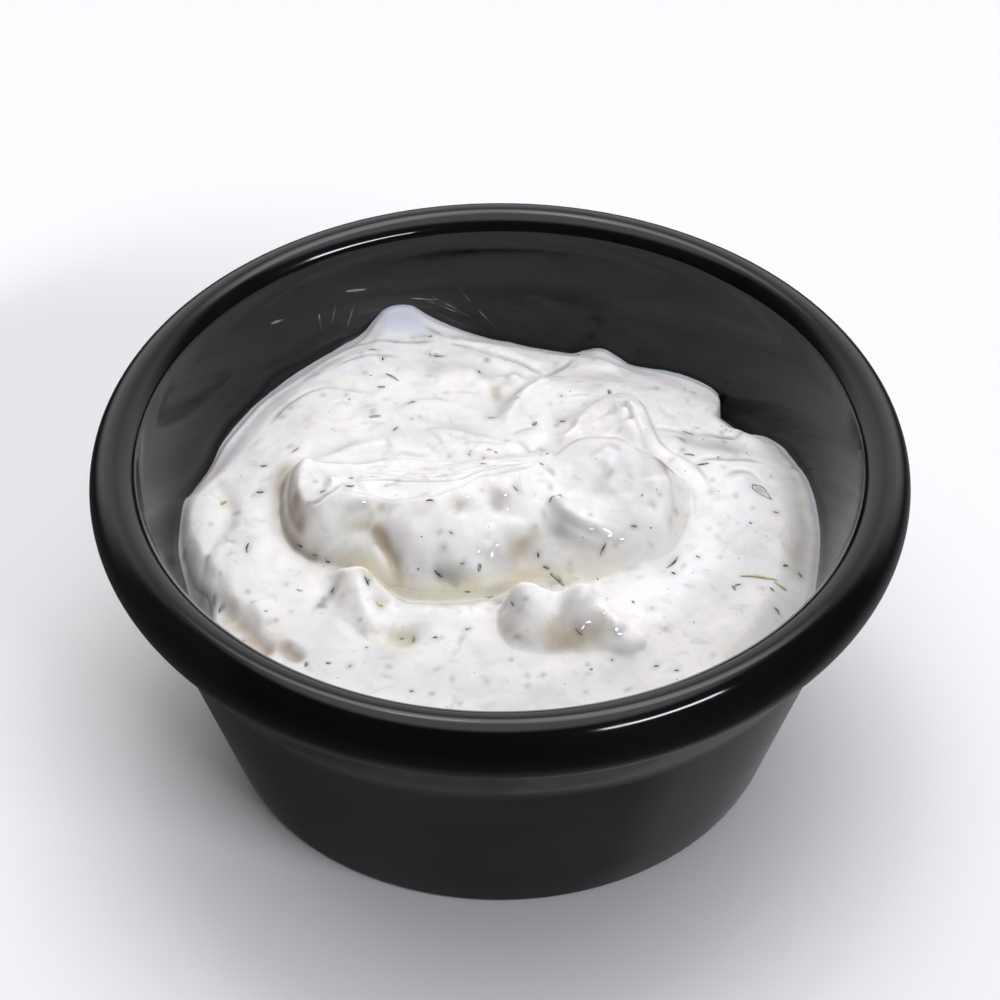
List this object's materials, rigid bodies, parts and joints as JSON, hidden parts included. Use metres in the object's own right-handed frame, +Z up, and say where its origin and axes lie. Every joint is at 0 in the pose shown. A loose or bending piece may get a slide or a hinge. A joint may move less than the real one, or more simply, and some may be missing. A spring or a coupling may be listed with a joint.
{
  "type": "tzatziki dip in a ramekin",
  "caption": "White yoghurt dip with cucumber and chopped herbs, spooned into a small black ramekin with a thick rolled rim, standing on its flat base.",
  "frame": {"origin": "centre of the ramekin's flat base, on the table", "axes": "+Z up along the ramekin's axis; -Y towards the front of the dip, where its two small knobs are; +X to the right seen from the front"},
  "size_m": [0.076, 0.076, 0.0334],
  "materials": {
    "ramekin": "glossy black melamine",
    "dip": null
  },
  "bodies": {
    "root": {"ramekin": "ramekin", "dip": "dip"}
  },
  "joints": []
}
